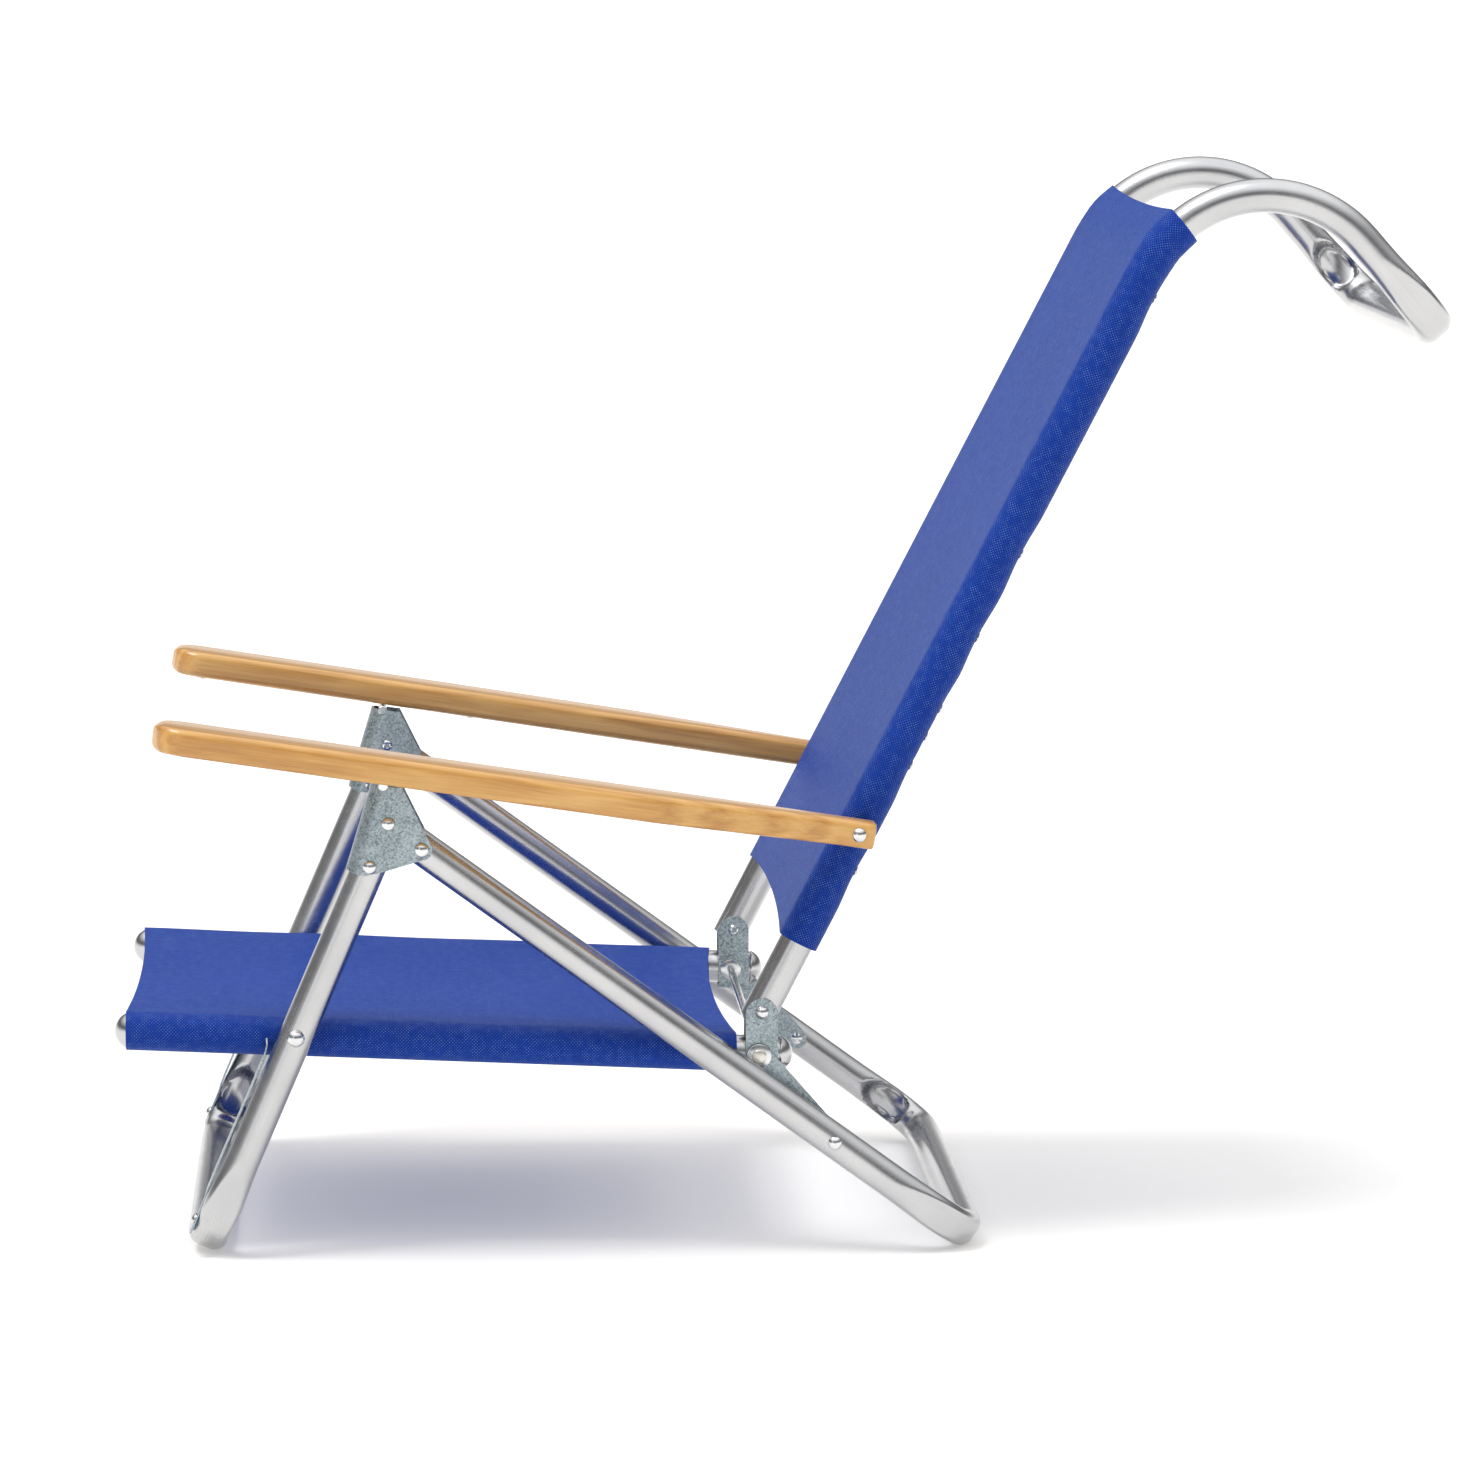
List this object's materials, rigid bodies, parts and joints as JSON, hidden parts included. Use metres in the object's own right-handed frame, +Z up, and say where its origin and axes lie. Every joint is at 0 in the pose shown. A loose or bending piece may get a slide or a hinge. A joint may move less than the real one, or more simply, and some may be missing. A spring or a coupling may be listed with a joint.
{
  "type": "low folding beach chair",
  "caption": "Low folding beach chair with an aluminium tube frame, fabric sling seat and back, notched wooden arms and a hooked top rail.",
  "frame": {"origin": "on the floor, in the middle of the chair's overall length and width", "axes": "+Z up, the sitter faces -Y, +X is the sitter's left"},
  "size_m": [0.578, 0.9873, 0.7898],
  "materials": {
    "aluminium_tube": "bright drawn tube, lightly polished",
    "zinc_plate": "bright zinc-plated sheet, blue-grey",
    "steel_fastener": "bright plated rivets, bolts and rod",
    "varnished_wood": "clear satin-gloss varnish",
    "blue_sling": "woven vinyl-coated mesh, matt"
  },
  "bodies": {
    "seat": {"seat_rail_left": "aluminium_tube", "seat_rail_right": "aluminium_tube", "rail_plug_front_left": "aluminium_tube", "rail_plug_front_right": "aluminium_tube", "rail_plug_rear_left": "aluminium_tube", "rail_plug_rear_right": "aluminium_tube", "seat_sling": "blue_sling", "back_hinge_stirrup_left": "zinc_plate", "back_hinge_stirrup_right": "zinc_plate", "rear_axle_rod": "steel_fastener", "axle_washer_inner_left": "zinc_plate", "axle_washer_inner_right": "zinc_plate", "axle_washer_outer_left": "zinc_plate", "axle_washer_outer_right": "zinc_plate", "axle_cap_left": "steel_fastener", "axle_cap_right": "steel_fastener", "leg_pivot_rivet_left": "steel_fastener", "leg_pivot_rivet_right": "steel_fastener", "leg_pivot_spacer_left": "zinc_plate", "leg_pivot_spacer_right": "zinc_plate"},
    "front_legs": {"front_leg_frame": "aluminium_tube", "leg_bracket_left": "zinc_plate", "leg_bracket_right": "zinc_plate", "bracket_rivet_top_left": "steel_fastener", "bracket_rivet_top_right": "steel_fastener", "bracket_rivet_bottom_left": "steel_fastener", "bracket_rivet_bottom_right": "steel_fastener", "rear_leg_pivot_rivet_left": "steel_fastener", "rear_leg_pivot_rivet_right": "steel_fastener", "arm_rest_pin_left": "steel_fastener", "arm_rest_pin_right": "steel_fastener", "spring_strap_left": "zinc_plate", "spring_strap_right": "zinc_plate", "spring_strap_screw_left": "zinc_plate", "spring_strap_screw_right": "zinc_plate"},
    "rear_legs": {"rear_leg_frame": "aluminium_tube", "link_rivet_left": "steel_fastener", "link_rivet_right": "steel_fastener"},
    "rear_links": {"rear_link_left": "zinc_plate", "rear_link_right": "zinc_plate", "link_rivet_head_left": "steel_fastener", "link_rivet_head_right": "steel_fastener"},
    "back": {"back_frame": "aluminium_tube", "back_sling": "blue_sling", "back_pivot_rivet_left": "steel_fastener", "back_pivot_rivet_right": "steel_fastener", "arm_pivot_bolt_left": "steel_fastener", "arm_pivot_bolt_right": "steel_fastener"},
    "arm_left": {"arm_left": "varnished_wood", "arm_track_left": "zinc_plate", "arm_screw_rear_left": "zinc_plate", "arm_screw_front_left": "zinc_plate"},
    "arm_right": {"arm_right": "varnished_wood", "arm_track_right": "zinc_plate", "arm_screw_rear_right": "zinc_plate", "arm_screw_front_right": "zinc_plate"}
  },
  "joints": [
    {"name": "fold", "type": "hinge", "parent": "seat", "child": "front_legs", "pos_m": [0, -0.3609, 0.1655], "axis": [1, 0, 0], "range_deg": [0, 56]},
    {"name": "rear_leg_fold", "type": "hinge", "parent": "front_legs", "child": "rear_legs", "pos_m": [0, -0.2684, 0.3042], "axis": [1, 0, 0], "range_deg": [-50.72, 0.5]},
    {"name": "link_swing", "type": "hinge", "parent": "seat", "child": "rear_links", "pos_m": [0, -0.0203, 0.1455], "axis": [1, 0, 0], "range_deg": [-122.37, 0.5]},
    {"name": "back_fold", "type": "hinge", "parent": "seat", "child": "back", "pos_m": [0, -0.018, 0.1775], "axis": [1, 0, 0], "range_deg": [-0.5, 93.4]},
    {"name": "arm_fold_left", "type": "hinge", "parent": "back", "child": "arm_left", "pos_m": [0, 0.05195, 0.31245], "axis": [1, 0, 0], "range_deg": [-109.25, 0.5]},
    {"name": "arm_fold_right", "type": "hinge", "parent": "back", "child": "arm_right", "pos_m": [0, 0.05195, 0.31245], "axis": [1, 0, 0], "range_deg": [-109.25, 0.5]}
  ],
  "couplings": [
    {"joint": "rear_leg_fold", "follows": "fold", "ratio": -0.89673},
    {"joint": "link_swing", "follows": "fold", "ratio": -2.1763},
    {"joint": "back_fold", "follows": "fold", "ratio": 1.6589},
    {"joint": "arm_fold_left", "follows": "fold", "ratio": -1.942},
    {"joint": "arm_fold_right", "follows": "fold", "ratio": -1.942}
  ]
}
